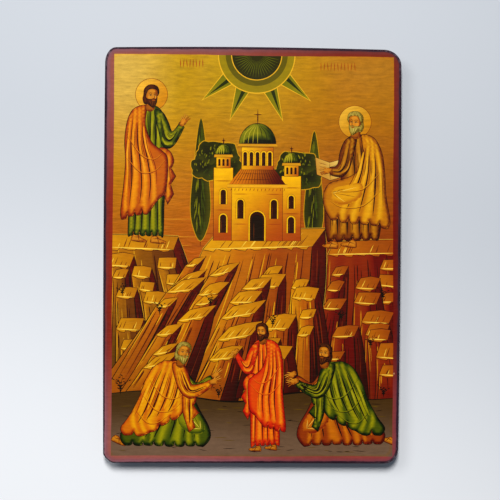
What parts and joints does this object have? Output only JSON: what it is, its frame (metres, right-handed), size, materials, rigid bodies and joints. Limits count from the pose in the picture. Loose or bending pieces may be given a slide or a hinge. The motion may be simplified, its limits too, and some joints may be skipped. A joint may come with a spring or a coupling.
{
  "type": "icon panel",
  "caption": "Flat wooden icon board with hand-rounded corners, a dark stained edge, a red painted border and a picture on a gold ground.",
  "frame": {"origin": "on the back face, under the middle of the board, which lies on its back", "axes": "+Z out of the painted face, +Y towards the top of the picture, +X towards its right"},
  "size_m": [0.2, 0.28, 0.02],
  "materials": {
    "board": "dark stained wood, satin",
    "painted_face": "gold ground and paint under a satin varnish"
  },
  "bodies": {
    "root": {"board": "board"}
  },
  "joints": []
}
